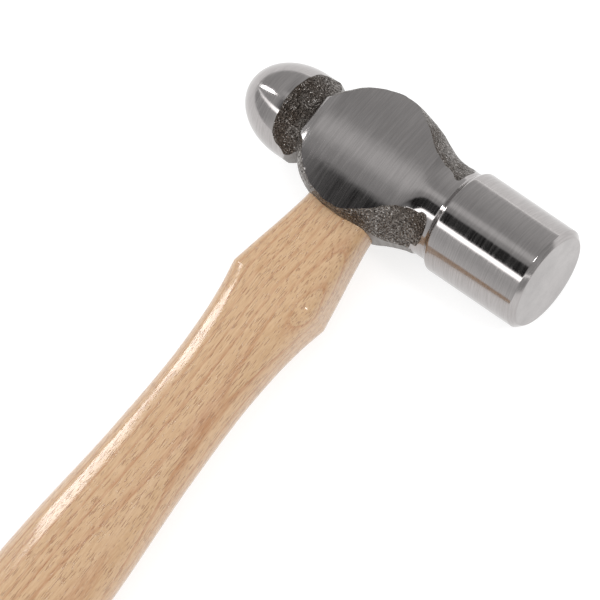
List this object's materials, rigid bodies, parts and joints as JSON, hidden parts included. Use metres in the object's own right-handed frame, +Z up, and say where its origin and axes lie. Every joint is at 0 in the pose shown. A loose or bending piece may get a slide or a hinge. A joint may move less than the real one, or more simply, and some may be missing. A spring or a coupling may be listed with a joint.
{
  "type": "ball peen hammer",
  "caption": "Forged steel head with a round flat striking face and a polished ball, on a lacquered wooden handle wedged in its eye.",
  "frame": {"origin": "on the ground under the middle of the hammer's box, as it lies on its side", "axes": "+X towards the striking face along the head axis, +Y from the butt of the handle to the top of the head, +Z up through a cheek of the head"},
  "size_m": [0.0988, 0.3396, 0.0295],
  "materials": {
    "head_steel": "ground and polished where it is used, shot-blasted forging skin in the scoops",
    "handle_wood": "clear gloss lacquer over pale open-grained hardwood",
    "wedge_wood": "bare hardwood, driven and trimmed",
    "wedge_steel": "dull rolled steel"
  },
  "bodies": {
    "root": {"head": "head_steel", "handle": "handle_wood", "wooden_wedge": "wedge_wood", "steel_wedge_front": "wedge_steel", "steel_wedge_rear": "wedge_steel"}
  },
  "joints": []
}
